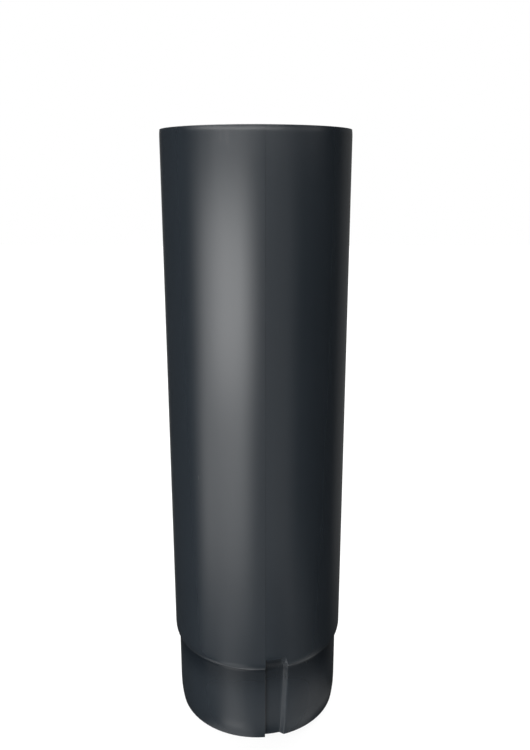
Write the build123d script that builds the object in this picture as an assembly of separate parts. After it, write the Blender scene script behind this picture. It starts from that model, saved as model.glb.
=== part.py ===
from build123d import *
from math import cos, degrees, hypot, pi, radians, sin, sqrt
import os

# Round downpipe of coated sheet steel, rolled from one sheet and lock-seamed.
# It stands on its spigot end: origin at the middle of the foot, +Z up the pipe.
# Angles in the sections are degrees from the front (-Y) towards +X.

# driving sizes, in millimetres and degrees
BODY_R = 50.0            # outside radius of the body
SPIGOT_R = 47.8          # outside radius of the spigot
TOTAL_L = 336.0          # overall length
SPIGOT_L = 46.0          # foot to the underside of the shoulder lip
SHEET = 0.65             # sheet thickness with its coating

LIP_H = 4.75             # height over which the shoulder lip rounds inwards
LIP_HOLLOW = 0.45        # hollow rounding between the lip and the spigot

SEAM_W = 7.4             # width of the folded seam
FOLD_DEG = 5.8           # where the outer sheet's fold edge stands
LAP_GAP = 0.15           # air between the layers of the seam
FOLD_CORNER = 0.16       # rounding of the pressed folds
FOLD_BACK = 0.5          # air left at the free edges inside the seam
FLUSH_GAP = 0.03         # hairline where the two sheets meet on the body's outside
FLUSH_CORNER = 0.02      # rounding of the sheets' edges along that hairline

WALL_DEG = 4.2           # width of the gutter's far wall at full depth
WALL_FOOT_DEG = 16.2     # where that wall starts at the foot
WALL_TOP_DEG = 18.6      # where it starts from the shoulder upwards
ROUND_DEG = 24.0         # from here on the section is the plain round
RAMP_UP = 4.8            # how far the gutter's ramp runs up above the lip
RAMP_DOWN = 2.4          # how far it runs down below the lip
RAMP_SOFT = 0.16         # share of the ramp that eases in and out

LEAD_IN = 1.15           # how much the foot is drawn in
LEAD_IN_L = 12.0         # height of the drawn-in foot
TOP_DRAW = 0.25          # how much the cut draws in the top edge
TOP_DRAW_L = 3.2         # height of that zone

STEP = SHEET + LAP_GAP   # from one layer of the seam to the next
LIP_DROP = BODY_R - SPIGOT_R - LIP_HOLLOW
UNDER = SPIGOT_L + LIP_HOLLOW
SHOULDER_TOP = UNDER + LIP_H


def to_deg(width):
    """Angle that a width along the body's outside takes up."""
    return degrees(width / BODY_R)


PLAIN_START = FOLD_DEG - to_deg(0.5)
HOOK_IN = FOLD_DEG - to_deg(SHEET)
HOOK_TIP = HOOK_IN - to_deg(FOLD_BACK)
BACK_FOLD = FOLD_DEG - to_deg(SEAM_W)
BACK_START = BACK_FOLD + to_deg(FOLD_CORNER)
BACK_IN = BACK_FOLD + to_deg(SHEET)
BACK_TIP = BACK_IN + to_deg(FOLD_BACK)


def hollow(turn):
    """A point of the hollow under the lip; turn runs from 0 at the spigot to 1."""
    a = turn * pi / 2.0
    return (SPIGOT_L + LIP_HOLLOW * sin(a), SPIGOT_R + LIP_HOLLOW * (1.0 - cos(a)))


def lip(turn):
    """A point of the rounded lip; turn runs from 0 at its underside to 1 on the body."""
    a = (1.0 - turn) * pi / 2.0
    return (SHOULDER_TOP - LIP_H * sin(a), BODY_R - LIP_DROP * (1.0 - cos(a)))


# the outside of the shoulder as a fine chain, for the offsets of the layers
SIDE = [(SPIGOT_L - 12.0, SPIGOT_R)]
SIDE.extend(hollow(i / 12.0) for i in range(12))
SIDE.extend(lip(i / 40.0) for i in range(41))
SIDE.append((SHOULDER_TOP + 12.0, BODY_R))


def outside(z):
    """Outside radius of the round at a height."""
    if z < LEAD_IN_L:
        return SPIGOT_R - LEAD_IN * (1.0 - z / LEAD_IN_L) ** 2
    if z > TOTAL_L - TOP_DRAW_L:
        return BODY_R - TOP_DRAW * ((z - TOTAL_L + TOP_DRAW_L) / TOP_DRAW_L) ** 2
    if z <= SPIGOT_L:
        return SPIGOT_R
    if z >= SHOULDER_TOP:
        return BODY_R
    for (z0, r0), (z1, r1) in zip(SIDE[:-1], SIDE[1:]):
        if z0 <= z <= z1:
            return r0 + (r1 - r0) * (z - z0) / max(z1 - z0, 1e-9)
    return BODY_R


def gap_to_side(z, r):
    best = 1e9
    for (z0, r0), (z1, r1) in zip(SIDE[:-1], SIDE[1:]):
        dz, dr = z1 - z0, r1 - r0
        u = ((z - z0) * dz + (r - r0) * dr) / (dz * dz + dr * dr)
        u = min(1.0, max(0.0, u))
        best = min(best, hypot(z - z0 - u * dz, r - r0 - u * dr))
    return best


def inside(z, depth):
    """Radius at a height, a depth below the outside, measured square to the sheet."""
    high = outside(z) - depth
    if depth == 0.0 or z < SPIGOT_L - 6.0 or z > SHOULDER_TOP + 6.0:
        return high
    low = high - 8.0
    for _ in range(26):
        mid = 0.5 * (low + high)
        if gap_to_side(z, mid) > depth:
            low = mid
        else:
            high = mid
    return 0.5 * (low + high)


def smooth(u):
    """Goes from 0 to 1 with no corner at either end."""
    u = min(1.0, max(0.0, u))
    return u * u * u * (u * (6.0 * u - 15.0) + 10.0)


RAMP_LOW = SPIGOT_L - RAMP_DOWN
RAMP_HIGH = SHOULDER_TOP + RAMP_UP


def pressed(z):
    """Share of the full gutter depth at a height: 1 on the spigot, 0 on the body."""
    u = (RAMP_HIGH - z) / (RAMP_HIGH - RAMP_LOW)
    e = RAMP_SOFT
    if u <= 0.0:
        return 0.0
    if u >= 1.0:
        return 1.0
    if u < e:
        return u * u / (2.0 * e * (1.0 - e))
    if u > 1.0 - e:
        return 1.0 - (1.0 - u) ** 2 / (2.0 * e * (1.0 - e))
    return (u - 0.5 * e) / (1.0 - e)


def section(z):
    """Closed outline of the rolled sheet at one height."""
    share = pressed(z)
    wall_at = WALL_FOOT_DEG + (WALL_TOP_DEG - WALL_FOOT_DEG) * min(1.0, z / SPIGOT_L)
    wall_w = WALL_DEG * (0.25 + 0.75 * share)

    # outer and inner radius of the four layers, counted from the outside
    r1, r2, r3, r4 = (inside(z, i * STEP) for i in range(4))
    r1i, r2i, r3i, r4i = (inside(z, i * STEP + SHEET) for i in range(4))
    sink = share * (r1 - r4)
    sink_i = share * (r1i - r4i)

    def at(r, a):
        return Vector(r * sin(radians(a)), -r * cos(radians(a)), z)

    def arc(r, a0, a1):
        return ThreePointArc(at(r, a0), at(r, 0.5 * (a0 + a1)), at(r, a1))

    def line(r0, a0, r1, a1):
        return Line(at(r0, a0), at(r1, a1))

    def corner(ra, rb, edge, side, size):
        """Quarter round from the arc at radius ra to the fold's end face at rb."""
        cut = size * (1.0 - sqrt(0.5))
        toward = cut if rb > ra else -cut
        return ThreePointArc(at(ra, edge - side * to_deg(size)),
                             at(ra + toward, edge - side * to_deg(cut)),
                             at(rb, edge))

    def flank(r, depth):
        """Far wall of the gutter: down from the round to the floor."""
        pts = []
        for i in range(17):
            a = ROUND_DEG + (WALL_FOOT_DEG - 0.5 - ROUND_DEG) * i / 16.0
            pts.append(at(r - depth * (1.0 - smooth((a - wall_at) / wall_w)), a))
        return Spline(pts)

    def drop(top, low, shares, offs):
        """Chain of points from the pressed strip down beside the fold to layer four."""
        return [(top + (low - top) * s, FOLD_DEG + to_deg(o)) for s, o in zip(shares, offs)]

    def chain(spots):
        return [line(a[0], a[1], b[0], b[1]) for a, b in zip(spots[:-1], spots[1:])]

    t = SHEET
    fc = FOLD_CORNER
    free = FLUSH_CORNER + (fc - FLUSH_CORNER) * share
    floor_end = WALL_FOOT_DEG - 0.5
    third = (PLAIN_START - (ROUND_DEG - 360.0)) / 3.0
    lip_off = FLUSH_GAP + FLUSH_CORNER
    e = []

    # outer face of the sheet, from its free edge inside the seam round the pipe
    e.append(arc(r3i, BACK_TIP, FOLD_DEG - to_deg(fc)))
    e.append(corner(r3i, r3i + fc, FOLD_DEG, 1.0, fc))
    e.append(line(r3i + fc, FOLD_DEG, r1 - free, FOLD_DEG))
    e.append(corner(r1, r1 - free, FOLD_DEG, 1.0, free))
    e.append(arc(r1, FOLD_DEG - to_deg(free), PLAIN_START))
    e.append(arc(r1, PLAIN_START, PLAIN_START - third))
    e.append(arc(r1, PLAIN_START - third, PLAIN_START - 2.0 * third))
    e.append(arc(r1, PLAIN_START - 2.0 * third, ROUND_DEG - 360.0))
    e.append(flank(r1, sink))
    outer_drop = drop(r1 - sink, r4, (0.0, 0.03, 0.88, 1.0),
                      (lip_off, FLUSH_GAP, 0.8 * FLUSH_GAP, -0.1))
    e.append(arc(r1 - sink, floor_end, outer_drop[0][1]))
    e.extend(chain(outer_drop))
    e.append(arc(r4, outer_drop[-1][1], BACK_IN))
    e.append(line(r4, BACK_IN, r2i, BACK_IN))
    e.append(arc(r2i, BACK_IN, HOOK_TIP))
    e.append(line(r2i, HOOK_TIP, r2, HOOK_TIP))

    # inner face, back the same way
    inner_drop = drop(r1i - sink_i, r4i, (0.0, 0.08, 0.88, 1.0),
                      (lip_off + t, FLUSH_GAP + t, 0.8 * FLUSH_GAP + t, t - 0.15))
    inner_drop.reverse()
    e.append(arc(r2, HOOK_TIP, BACK_START))
    e.append(corner(r2, r2 - fc, BACK_FOLD, -1.0, fc))
    e.append(line(r2 - fc, BACK_FOLD, r4i + fc, BACK_FOLD))
    e.append(corner(r4i, r4i + fc, BACK_FOLD, -1.0, fc))
    e.append(arc(r4i, BACK_START, inner_drop[0][1]))
    e.extend(chain(inner_drop))
    e.append(arc(r1i - sink_i, inner_drop[-1][1], floor_end))
    e.append(flank(r1i, sink_i))
    e.append(arc(r1i, ROUND_DEG - 360.0, PLAIN_START - 2.0 * third))
    e.append(arc(r1i, PLAIN_START - 2.0 * third, PLAIN_START - third))
    e.append(arc(r1i, PLAIN_START - third, HOOK_IN))
    e.append(line(r1i, HOOK_IN, r3, HOOK_IN))
    e.append(arc(r3, HOOK_IN, BACK_TIP))
    e.append(line(r3, BACK_TIP, r3i, BACK_TIP))
    return Wire(e)


# heights at which the section is set, from the foot to the mouth
ramp = RAMP_HIGH - RAMP_LOW
levels = [u * LEAD_IN_L for u in (0.0, 0.2, 0.42, 0.68, 1.0)]
levels += [RAMP_LOW, RAMP_LOW + 0.5 * RAMP_SOFT * ramp]
levels += [hollow(u)[0] for u in (0.0, 0.5)]
levels += [lip(u)[0] for u in (0.0, 0.2, 0.35, 0.5, 0.65, 0.82, 1.0)]
levels += [UNDER + u * SHEET for u in (0.55, 0.95)]
levels += [RAMP_HIGH - u * ramp for u in (0.25, RAMP_SOFT, 0.5 * RAMP_SOFT, 0.0)]
levels += [TOTAL_L - u * TOP_DRAW_L for u in (1.0, 0.62, 0.3, 0.0)]
levels = sorted(levels)

pipe = Solid.make_loft([section(z) for z in levels], ruled=True)

os.makedirs("parts", exist_ok=True)
export_step(pipe, "parts/downpipe.step")
print("valid", pipe.is_valid, "volume", round(pipe.volume, 1), "faces", len(pipe.faces()))
print("box", pipe.bounding_box().min, pipe.bounding_box().max)
print("levels", [round(z, 2) for z in levels])
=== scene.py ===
"""Looks, light and camera for the round steel downpipe. Metres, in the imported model's frame."""
import math

import bpy
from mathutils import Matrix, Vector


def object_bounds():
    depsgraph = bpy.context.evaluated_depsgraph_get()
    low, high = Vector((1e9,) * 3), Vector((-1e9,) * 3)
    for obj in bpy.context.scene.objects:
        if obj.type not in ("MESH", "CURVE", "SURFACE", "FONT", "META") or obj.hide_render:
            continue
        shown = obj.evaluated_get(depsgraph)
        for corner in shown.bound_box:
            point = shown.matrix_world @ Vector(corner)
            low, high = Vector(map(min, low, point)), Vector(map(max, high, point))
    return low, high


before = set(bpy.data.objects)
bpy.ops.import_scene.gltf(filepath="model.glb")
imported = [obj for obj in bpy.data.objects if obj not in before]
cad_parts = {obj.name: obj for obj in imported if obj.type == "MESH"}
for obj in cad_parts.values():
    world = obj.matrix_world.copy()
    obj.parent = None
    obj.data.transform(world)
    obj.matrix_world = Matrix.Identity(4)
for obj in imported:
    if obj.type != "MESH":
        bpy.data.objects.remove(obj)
cad_box = [list(v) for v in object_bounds()]
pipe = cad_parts["downpipe"]

# Camera at the photograph's place, from a fit to the pipe's outline in it
CAMERA_PLACE = (0.0047, -0.4046, 0.3138)
CAMERA_PITCH = 15.15  # degrees below level
CAMERA_CLIP = (0.01, 20.0)
SENSOR = 36.0  # millimetres, along the picture's height
PHOTO_HEIGHT = 750.0  # pixels
FOCAL_PIXELS = 740.2  # focal length, in the same pixels

# Places on the pipe, which stands with its foot at height 0
PIPE_TOP = cad_box[1][2]
LIP_CREST = 0.0475  # of the shoulder's rounding
LIP_FOOT = 0.0462  # the underside of the lip
FOLD_EDGE = 0.101  # radians from the front to the right, at the gutter's sharp side
GUTTER_BEND = 0.30  # the same at its bent side

# Coated steel
COAT_DARK = (0.0182, 0.0233, 0.0288, 1.0)
COAT_LIGHT = (0.0210, 0.0268, 0.0332, 1.0)
BACK_COAT = (0.0360, 0.0390, 0.0420, 1.0)  # the thinner, duller coat on the sheet's inner side
BARE_EDGE_AND_PAINTED_LIGHT = (0.0750, 0.0800, 0.0840, 1.0)  # primer and steel at the cut; also the painted light on the lip's crest and beside the fold
# painted shade, darkening the corner under the lip and the gutter's head
CORNER_PAINTED_SHADE = (0.0020, 0.0048, 0.0080, 1.0)
COAT_ROUGHNESS = 0.22
BACK_ROUGHER = 0.16
CUT_ROUGHER = 0.12
RUB_SMOOTHER = 0.03
INNER_SURE = -0.02  # distance from the axis times the normal's outward part, where the inner coat is full

# Unevenness of the coat, with the scales of its noise per metre
PEEL_SCALE = 620.0
PEEL_DEPTH = 0.0000025
PATCH_SCALE = 26.0
STREAK_SCALE = 150.0
STREAK_STRETCH = 26.0  # along the pipe, as the sheet was rolled
STREAK_DEPTH = 0.8  # in depths of the peel
SCUFF_SCALE = 260.0
SCUFF_STRETCH = 9.0
SCUFF_RANGE = (0.66, 0.76)  # of the noise: no scuff, full scuff
NOISE_MIDDLE = 0.5
TINT_SWING = 0.9  # of patches and of streaks, from the dark coat to the light one
PATCH_ROUGHNESS = 0.05
STREAK_ROUGHNESS = 0.06
SCUFF_ROUGHNESS = 0.05

# Wear, painted shade and painted light, and how much of the other colour shows where they are full
CUT_WEAR = 0.55
# the lip's crest: rubbed coat, and a painted highlight
LIP_RUB_AND_HIGHLIGHT = 0.42
# beside the fold: rubbed coat, and painted light over the gutter wall's shadow
FOLD_RUB_AND_PAINTED_LIGHT = 0.4
SCUFF_WEAR = 0.04
# painted shade under the lip and in the head of the seam's gutter
UNDER_LIP_PAINTED_SHADE = 0.62
GUTTER_HEAD_PAINTED_SHADE = 0.95
WEAR_AND_PAINTED_LIGHT_SCALE = 90.0  # of the noise by which worn spots, the painted shade and the painted light come and go
PAINTED_SHADE_LEAST = 0.75  # of the painted shade where that noise is 0
PAINTED_SHADE_SWING = 0.5  # more of it where the noise is 1
CUT_REACH = 0.0010  # in from the cut where that noise is 1, less the fade
CUT_FADE = 0.0002
LIP_RUB_AND_HIGHLIGHT_WIDTH = (0.0003, 0.0011)  # off the crest: full, none
LIP_RUB_AND_HIGHLIGHT_SPOTS = (0.20, 0.62)  # of the noise: none, full
FOLD_RUB_AND_PAINTED_LIGHT_FADE = 0.006  # below the lip

# Bands, in radians round the pipe or metres: where they begin, are full from, are full to, and end
# where the rub and the painted light lie beside the fold
FOLD_RUB_AND_PAINTED_LIGHT_SIDES = (FOLD_EDGE - 0.006, FOLD_EDGE - 0.001, FOLD_EDGE + 0.006, FOLD_EDGE + 0.017)
# bands of the painted shade: under the lip, and at the gutter's head
UNDER_LIP = (LIP_FOOT - 0.020, LIP_FOOT - 0.001, LIP_FOOT, LIP_FOOT + 0.0006)
GUTTER_HEAD = (LIP_FOOT - 0.006, LIP_FOOT + 0.001, LIP_FOOT + 0.005, LIP_FOOT + 0.0085)
GUTTER_WIDTH = (FOLD_EDGE, FOLD_EDGE + 0.004, GUTTER_BEND - 0.03, GUTTER_BEND)
FOOT_GLOW_REACH = (0.046, 0.054, 0.064, 0.088)  # from the pipe's axis

# Bends of the sheet
WELD_DISTANCE = 0.000001
CRISP_ANGLE = 24.0  # degrees, between faces that meet at a real edge
ROUND_LEAN = (4.8, 8.0)  # degrees off the round: a facet is turned fully up to the first, not past the second

# Softboxes in degrees: azimuth from the front to the right, half width, side edge,
# elevation, half height, top edge, and last the power. Most of these numbers come from
# a separate program's least-squares fit to the photograph's shading, and some were then
# changed by hand.
SOFTBOXES = {
    "key_panel": (-42.1, 33.0, 13.3, -14.9, 14.9, 4.2, 2.04),
    "key_core": (-31.0, 26.5, 18.3, -7.1, 7.7, 1.0, 3.36),
    "front_fill": (0.5, 45.2, 13.3, -14.7, 17.0, 4.0, 0.46),
    "right_panel": (49.9, 33.6, 10.6, 10.3, 3.0, 4.5, 1.34),
    "rim_panel": (-23.2, 42.5, 31.2, 11.8, 1.5, 1.6, 13.5),
    "overhead": (-36.6, 90.0, 8.2, 75.0, 15.0, 5.0, 6.9),
    "back_panel": (163.9, 42.4, 8.0, 17.2, 48.8, 8.0, 0.11),
    "back_top": (180.0, 48.0, 18.0, 52.0, 18.0, 7.0, 11.0),
    # what a pale table throws back at the pipe from below
    "table_edge": (-2.0, 70.0, 20.0, -32.0, 2.0, 3.0, 0.4),
    "table_far": (45.0, 52.0, 14.0, -39.5, 1.5, 3.5, 0.28),
    "table_far_left": (-39.0, 16.0, 12.0, -39.3, 1.6, 3.2, 0.72),
    "table_left": (-36.0, 18.0, 13.0, -46.5, 3.5, 4.5, 1.85),
    "table_right": (72.0, 28.0, 14.0, -51.0, 8.0, 5.0, 0.32),
    "table_near_left": (-54.0, 46.0, 14.0, -59.0, 5.0, 6.0, 0.9),
    "table_below": (-54.0, 46.0, 14.0, -80.0, 12.0, 8.0, 0.66),
}
FOOT_GLOW = (28.0, 48.0, 16.0, 0.24)  # the table close to the foot: azimuth, half width, side edge, power
ROOM_LIGHT = 0.023  # from every direction
WORLD_MAP = 512  # resolution at which the renderer looks for the softboxes
WHITE = (1.0, 1.0, 1.0, 1.0)

# Floor
FLOOR_SIZE = 6.0
FLOOR_DROP = 0.0002  # below the pipe's foot
FLOOR_SHADE = 0.12  # what the floor's own colour adds, and with it the pipe's shadow
FLOOR_FILL = 0.88  # what brings it up to white for the camera

# Node helpers
LEVEL = (1.0, 1.0, 0.0)  # keeps the level part of a direction
UPRIGHT = (0.0, 0.0, 1.0)  # keeps the upright part
MIX_SOCKETS = {"VECTOR": (4, 5, 1), "RGBA": (6, 7, 2)}  # a mix node's two inputs and its output


def node(tree, kind, **values):
    """A new node, with its settings and the constants on its inputs given by name."""
    made = tree.nodes.new(kind)
    for key, value in values.items():
        if hasattr(made, key):
            setattr(made, key, value)
        else:
            made.inputs[key.replace("_", " ")].default_value = value
    return made


def feed(tree, socket, source):
    """Links an input to another node's output, or sets it to a constant."""
    if isinstance(source, bpy.types.NodeSocket):
        tree.links.new(source, socket)
    else:
        socket.default_value = source


def num(tree, operation, *sources):
    made = node(tree, "ShaderNodeMath", operation=operation)
    for socket, source in zip(made.inputs, sources):
        feed(tree, socket, source)
    return made.outputs[0]


def vec(tree, operation, *sources):
    made = node(tree, "ShaderNodeVectorMath", operation=operation)
    for socket, source in zip(made.inputs, sources):
        feed(tree, socket, source)
    if operation in ("LENGTH", "DOT_PRODUCT"):
        return made.outputs["Value"]
    return made.outputs["Vector"]


def ramp(tree, source, low, high):
    """0 at low and 1 at high, smooth between. Low may be the larger one."""
    made = node(tree, "ShaderNodeMapRange", interpolation_type="SMOOTHSTEP")
    feed(tree, made.inputs["Value"], source)
    feed(tree, made.inputs["From Min"], low)
    feed(tree, made.inputs["From Max"], high)
    return made.outputs["Result"]


def band(tree, source, steps):
    """0 before the first of four steps, 1 between the middle two, and 0 after the last."""
    begin, full, last, end = steps
    return num(tree, "MULTIPLY", ramp(tree, source, begin, full), ramp(tree, source, end, last))


def within(tree, off, half, edge):
    """1 up to half on either side of 0, and 0 outside, smooth over the edge."""
    outside = num(tree, "ADD", half, edge)
    inside = num(tree, "SUBTRACT", half, edge)
    return ramp(tree, num(tree, "ABSOLUTE", off), outside, inside)


def mix(tree, kind, share, first, second):
    one, two, out = MIX_SOCKETS[kind]
    made = node(tree, "ShaderNodeMix", data_type=kind)
    feed(tree, made.inputs["Factor"], share)
    feed(tree, made.inputs[one], first)
    feed(tree, made.inputs[two], second)
    return made.outputs[out]


def turned(tree, place, angle):
    """A place or direction, turned about the pipe's axis."""
    made = node(tree, "ShaderNodeVectorRotate", rotation_type="Z_AXIS")
    feed(tree, made.inputs["Vector"], place)
    feed(tree, made.inputs["Angle"], angle)
    return made.outputs[0]


def axes_of(tree, place):
    made = node(tree, "ShaderNodeSeparateXYZ")
    feed(tree, made.inputs[0], place)
    return made.outputs


def azimuth(tree, axes):
    """Angle round the pipe: 0 at the front, growing to the right."""
    return num(tree, "ARCTAN2", axes["X"], num(tree, "MULTIPLY", axes["Y"], -1.0))


def added(tree, first, second):
    made = node(tree, "ShaderNodeAddShader")
    feed(tree, made.inputs[0], first)
    feed(tree, made.inputs[1], second)
    return made.outputs[0]


def camera_apart(tree, others, for_camera, output):
    """One shader for the camera's own rays, and another for all the rest."""
    path = node(tree, "ShaderNodeLightPath")
    apart = node(tree, "ShaderNodeMixShader")
    end = node(tree, output)
    feed(tree, apart.inputs[0], path.outputs["Is Camera Ray"])
    feed(tree, apart.inputs[1], others)
    feed(tree, apart.inputs[2], for_camera)
    feed(tree, end.inputs["Surface"], apart.outputs[0])


# Coated steel
def coat_surface():
    """From a place on the pipe to its coat's unevenness: tint, change in roughness, relief and scuffs."""
    t = bpy.data.node_groups.new("coat_surface", "ShaderNodeTree")
    t.interface.new_socket("Place", in_out="INPUT", socket_type="NodeSocketVector")
    for name in ("Peel Scale", "Patch Scale", "Streak Scale"):
        t.interface.new_socket(name, in_out="INPUT", socket_type="NodeSocketFloat")
    for name in ("Tint", "Roughness Shift", "Relief", "Scuffs"):
        t.interface.new_socket(name, in_out="OUTPUT", socket_type="NodeSocketFloat")
    given = node(t, "NodeGroupInput").outputs
    leave = node(t, "NodeGroupOutput").inputs

    def noise(scale, detail, stretch=1.0):
        """Noise at a scale, drawn out along the pipe."""
        made = node(t, "ShaderNodeTexNoise", Detail=detail)
        feed(t, made.inputs["Vector"], vec(t, "MULTIPLY", given["Place"], (1.0, 1.0, 1.0 / stretch)))
        feed(t, made.inputs["Scale"], scale)
        return made.outputs["Fac"]

    peel = noise(given["Peel Scale"], detail=1.0)
    patch = noise(given["Patch Scale"], detail=3.0)
    streak = noise(given["Streak Scale"], detail=2.0, stretch=STREAK_STRETCH)
    scuffs = ramp(t, noise(SCUFF_SCALE, detail=4.0, stretch=SCUFF_STRETCH), *SCUFF_RANGE)

    def uneven(middle, patch_swing, streak_swing):
        """Patches and streaks together, swinging about a middle value."""
        least = middle - NOISE_MIDDLE * (patch_swing + streak_swing)
        return num(t, "MULTIPLY_ADD", streak, streak_swing, num(t, "MULTIPLY_ADD", patch, patch_swing, least))

    tint = uneven(middle=0.5, patch_swing=TINT_SWING, streak_swing=TINT_SWING)
    rougher = uneven(middle=0.0, patch_swing=PATCH_ROUGHNESS, streak_swing=STREAK_ROUGHNESS)
    feed(t, leave["Tint"], tint)
    feed(t, leave["Roughness Shift"], num(t, "MULTIPLY_ADD", scuffs, SCUFF_ROUGHNESS, rougher))
    feed(t, leave["Relief"], num(t, "MULTIPLY_ADD", streak, STREAK_DEPTH, peel))
    feed(t, leave["Scuffs"], scuffs)
    return t


def inner_side(t, place, normal):
    """1 where the surface looks at the pipe's axis."""
    outward = vec(t, "DOT_PRODUCT", vec(t, "MULTIPLY", place, LEVEL), normal)
    return ramp(t, outward, 0.0, INNER_SURE)


def worn_cut(t, height, patchy):
    """The cut ends, rubbed thin here and there."""
    from_end = num(t, "MINIMUM", height, num(t, "SUBTRACT", PIPE_TOP, height))
    reach = num(t, "MULTIPLY_ADD", patchy, CUT_REACH, -CUT_FADE)
    return ramp(t, num(t, "SUBTRACT", from_end, reach), 0.0, -CUT_FADE)


def rubbed_and_highlit_lip(t, height, patchy):
    """The crest of the shoulder's lip, rubbed in spots, and lightened there as a painted highlight."""
    full, none = LIP_RUB_AND_HIGHLIGHT_WIDTH
    off_crest = num(t, "ABSOLUTE", num(t, "SUBTRACT", height, LIP_CREST))
    return num(t, "MULTIPLY", ramp(t, off_crest, none, full), ramp(t, patchy, *LIP_RUB_AND_HIGHLIGHT_SPOTS))


def fold_rub_and_painted_light(t, height, around):
    """The fold's edge beside the gutter, where the next pipe slides along it: rubbed coat, and painted light
    over the shadow of the gutter's wall.
    """
    below_lip = ramp(t, height, LIP_FOOT, LIP_FOOT - FOLD_RUB_AND_PAINTED_LIGHT_FADE)
    return num(t, "MULTIPLY", band(t, around, FOLD_RUB_AND_PAINTED_LIGHT_SIDES), below_lip)


def painted_corner_shade(t, height, around, patchy):
    """Painted shade in the corner under the lip, thinning downwards, and in the head of the seam's gutter."""
    in_head = num(t, "MULTIPLY", band(t, around, GUTTER_WIDTH), band(t, height, GUTTER_HEAD))
    under_lip = num(t, "MULTIPLY", band(t, height, UNDER_LIP), UNDER_LIP_PAINTED_SHADE)
    painted_shade = num(t, "MAXIMUM", under_lip, num(t, "MULTIPLY", in_head, GUTTER_HEAD_PAINTED_SHADE))
    return num(t, "MULTIPLY", painted_shade, num(t, "MULTIPLY_ADD", patchy, PAINTED_SHADE_SWING, PAINTED_SHADE_LEAST))


def coated_steel():
    mat = bpy.data.materials.new("coated_steel")
    mat.use_nodes = True
    t = mat.node_tree
    shader = t.nodes["Principled BSDF"]
    coords = node(t, "ShaderNodeTexCoord").outputs
    place = coords["Object"]
    group = node(t, "ShaderNodeGroup", node_tree=coat_surface())
    feed(t, group.inputs["Place"], place)
    feed(t, group.inputs["Peel Scale"], PEEL_SCALE)
    feed(t, group.inputs["Patch Scale"], PATCH_SCALE)
    feed(t, group.inputs["Streak Scale"], STREAK_SCALE)
    surface = group.outputs
    spots = node(t, "ShaderNodeTexNoise", Scale=WEAR_AND_PAINTED_LIGHT_SCALE, Detail=3.0)
    feed(t, spots.inputs["Vector"], place)
    patchy = spots.outputs["Fac"]

    axes = axes_of(t, place)
    height = axes["Z"]
    around = azimuth(t, axes)
    painted_shade = painted_corner_shade(t, height, around, patchy)
    inner = inner_side(t, place, coords["Normal"])
    lip_rub_and_highlight = rubbed_and_highlit_lip(t, height, patchy)
    fold_rub_and_painted_light_share = fold_rub_and_painted_light(t, height, around)
    cut = worn_cut(t, height, patchy)

    coat = mix(t, "RGBA", surface["Tint"], COAT_DARK, COAT_LIGHT)
    # painted shade under the lip and in the gutter's head
    coat = mix(t, "RGBA", painted_shade, coat, CORNER_PAINTED_SHADE)
    coat = mix(t, "RGBA", inner, coat, BACK_COAT)
    # bare coat where worn; on the lip's crest also a painted highlight, and beside the fold painted light
    worn_places = ((lip_rub_and_highlight, LIP_RUB_AND_HIGHLIGHT), (fold_rub_and_painted_light_share, FOLD_RUB_AND_PAINTED_LIGHT), (surface["Scuffs"], SCUFF_WEAR), (cut, CUT_WEAR))
    for worn, share in worn_places:
        coat = mix(t, "RGBA", num(t, "MULTIPLY", worn, share), coat, BARE_EDGE_AND_PAINTED_LIGHT)
    feed(t, shader.inputs["Base Color"], coat)

    rough = num(t, "ADD", surface["Roughness Shift"], COAT_ROUGHNESS)
    for where, change in ((inner, BACK_ROUGHER), (cut, CUT_ROUGHER), (lip_rub_and_highlight, -RUB_SMOOTHER)):
        rough = num(t, "MULTIPLY_ADD", where, change, rough)
    feed(t, shader.inputs["Roughness"], rough)

    relief = node(t, "ShaderNodeBump", Strength=1.0, Distance=PEEL_DEPTH)
    feed(t, relief.inputs["Height"], surface["Relief"])
    feed(t, shader.inputs["Normal"], relief.outputs["Normal"])
    return mat


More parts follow.
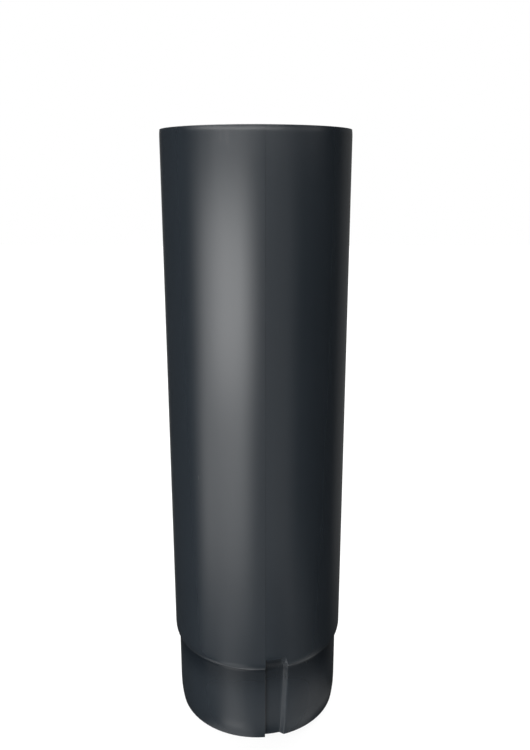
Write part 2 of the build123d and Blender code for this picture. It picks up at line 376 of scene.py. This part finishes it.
# Bends of the sheet
def round_normals():
    """Facets that face nearly straight to or from the axis get normals exactly so, and read as one round."""
    t = bpy.data.node_groups.new("round_normals", "GeometryNodeTree")
    t.interface.new_socket("Geometry", in_out="INPUT", socket_type="NodeSocketGeometry")
    t.interface.new_socket("Geometry", in_out="OUTPUT", socket_type="NodeSocketGeometry")
    entry = node(t, "NodeGroupInput")
    leave = node(t, "NodeGroupOutput")
    plain = node(t, "GeometryNodeRemoveAttribute", Name="custom_normal")
    soft = node(t, "GeometryNodeSetShadeSmooth")
    feed(t, plain.inputs["Geometry"], entry.outputs[0])
    feed(t, soft.inputs["Geometry"], plain.outputs[0])

    def level_way(source):
        """Unit vector along the level part of a direction."""
        return vec(t, "NORMALIZE", vec(t, "MULTIPLY", source, LEVEL))

    normal = node(t, "GeometryNodeInputNormal").outputs["Normal"]
    outwards = level_way(node(t, "GeometryNodeInputPosition").outputs[0])
    facet = node(t, "GeometryNodeFieldOnDomain", data_type="FLOAT_VECTOR", domain="FACE")
    feed(t, facet.inputs[0], normal)
    facing = vec(t, "DOT_PRODUCT", level_way(facet.outputs[0]), outwards)
    full, none = (math.cos(math.radians(lean)) for lean in ROUND_LEAN)
    share = ramp(t, num(t, "ABSOLUTE", facing), none, full)

    level_size = vec(t, "LENGTH", vec(t, "MULTIPLY", normal, LEVEL))
    straight = node(t, "ShaderNodeVectorMath", operation="SCALE")
    feed(t, straight.inputs[0], outwards)
    feed(t, straight.inputs["Scale"], num(t, "MULTIPLY", num(t, "SIGN", facing), level_size))
    exact = vec(t, "ADD", straight.outputs[0], vec(t, "MULTIPLY", normal, UPRIGHT))

    setter = node(t, "GeometryNodeSetMeshNormal", mode="FREE", domain="CORNER")
    feed(t, setter.inputs["Mesh"], soft.outputs[0])
    feed(t, setter.inputs["Custom Normal"], mix(t, "VECTOR", share, normal, exact))
    feed(t, leave.inputs[0], setter.outputs[0])
    return t


def dress_pipe():
    """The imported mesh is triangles, split along the CAD faces. It is welded, split again at the
    fold's edges and the cut ends only, and its normals are set from the pipe's axis."""
    weld = pipe.modifiers.new("weld", "WELD")
    weld.merge_threshold = WELD_DISTANCE
    split = pipe.modifiers.new("crisp_edges", "EDGE_SPLIT")
    split.split_angle = math.radians(CRISP_ANGLE)
    split.use_edge_sharp = False
    bends = pipe.modifiers.new("round_normals", "NODES")
    bends.node_group = round_normals()
    pipe.data.materials.clear()
    pipe.data.materials.append(coated_steel())


# Light
def softbox_group():
    """One softly edged panel of light, seen in the world's directions."""
    t = bpy.data.node_groups.new("softbox", "ShaderNodeTree")
    t.interface.new_socket("Direction", in_out="INPUT", socket_type="NodeSocketVector")
    for name in ("Turn", "Half Width", "Side Edge", "Elevation", "Half Height", "Top Edge", "Power"):
        t.interface.new_socket(name, in_out="INPUT", socket_type="NodeSocketFloat")
    t.interface.new_socket("Light", in_out="OUTPUT", socket_type="NodeSocketFloat")
    given = node(t, "NodeGroupInput").outputs
    leave = node(t, "NodeGroupOutput").inputs
    axes = axes_of(t, turned(t, given["Direction"], given["Turn"]))
    upwards = num(t, "SUBTRACT", num(t, "ARCSINE", axes["Z"]), given["Elevation"])
    wide = within(t, azimuth(t, axes), given["Half Width"], given["Side Edge"])
    high = within(t, upwards, given["Half Height"], given["Top Edge"])
    feed(t, leave["Light"], num(t, "MULTIPLY", num(t, "MULTIPLY", wide, high), given["Power"]))
    return t


def studio_world():
    """White to the camera. Everything else sees the softboxes in a dim room."""
    world = bpy.data.worlds.new("studio")
    bpy.context.scene.world = world
    world.use_nodes = True
    t = world.node_tree
    t.nodes.clear()
    directions = node(t, "ShaderNodeTexCoord").outputs["Generated"]
    panel = softbox_group()
    light = ROOM_LIGHT
    for name, (side, half_width, side_edge, height, half_height, top_edge, power) in SOFTBOXES.items():
        box = node(t, "ShaderNodeGroup", node_tree=panel, label=name)
        feed(t, box.inputs["Direction"], directions)
        for key, angle in (("Turn", -side), ("Half Width", half_width), ("Side Edge", side_edge),
                           ("Elevation", height), ("Half Height", half_height), ("Top Edge", top_edge)):
            feed(t, box.inputs[key], math.radians(angle))
        feed(t, box.inputs["Power"], power)
        light = num(t, "ADD", box.outputs["Light"], light)
    lit = node(t, "ShaderNodeBackground", Color=WHITE)
    feed(t, lit.inputs["Strength"], light)
    white = node(t, "ShaderNodeBackground", Color=WHITE, Strength=1.0)
    camera_apart(t, lit.outputs[0], white.outputs[0], "ShaderNodeOutputWorld")
    world.cycles.sampling_method = "MANUAL"
    world.cycles.sample_map_resolution = WORLD_MAP


# Floor
def foot_glow(t):
    """Light of the table close to the pipe's foot, strongest at the front right."""
    side, half_width, side_edge, power = FOOT_GLOW
    place = node(t, "ShaderNodeNewGeometry").outputs["Position"]
    sideways = azimuth(t, axes_of(t, turned(t, place, math.radians(-side))))
    wide = within(t, sideways, math.radians(half_width), math.radians(side_edge))
    ring = band(t, vec(t, "LENGTH", place), FOOT_GLOW_REACH)
    glow = node(t, "ShaderNodeEmission", Color=WHITE)
    feed(t, glow.inputs["Strength"], num(t, "MULTIPLY", num(t, "MULTIPLY", ring, wide), power))
    return glow.outputs[0]


def floor_material():
    """White to the camera but for the pipe's soft shadow. Other rays pass through, with the foot's glow."""
    mat = bpy.data.materials.new("floor")
    mat.use_nodes = True
    t = mat.node_tree
    t.nodes.clear()
    matt = node(t, "ShaderNodeBsdfDiffuse", Color=(FLOOR_SHADE, FLOOR_SHADE, FLOOR_SHADE, 1.0))
    fill = node(t, "ShaderNodeEmission", Color=WHITE, Strength=FLOOR_FILL)
    clear = node(t, "ShaderNodeBsdfTransparent")
    for_camera = added(t, matt.outputs[0], fill.outputs[0])
    others = added(t, clear.outputs[0], foot_glow(t))
    camera_apart(t, others, for_camera, "ShaderNodeOutputMaterial")
    return mat


def pale_floor():
    bpy.ops.mesh.primitive_plane_add(size=FLOOR_SIZE, location=(0.0, 0.0, -FLOOR_DROP))
    floor = bpy.context.object
    floor.name = "floor"
    floor.data.materials.append(floor_material())
    floor.visible_shadow = False


# Camera
def photo_camera():
    data = bpy.data.cameras.new("camera")
    data.sensor_width = SENSOR
    data.lens = FOCAL_PIXELS / PHOTO_HEIGHT * SENSOR
    data.clip_start, data.clip_end = CAMERA_CLIP
    cam = bpy.data.objects.new("camera", data)
    bpy.context.collection.objects.link(cam)
    cam.location = CAMERA_PLACE
    cam.rotation_euler = (math.radians(90.0 - CAMERA_PITCH), 0.0, 0.0)
    bpy.context.scene.camera = cam


photo_camera()
dress_pipe()
studio_world()
pale_floor()
bpy.context.scene.view_settings.view_transform = "Standard"
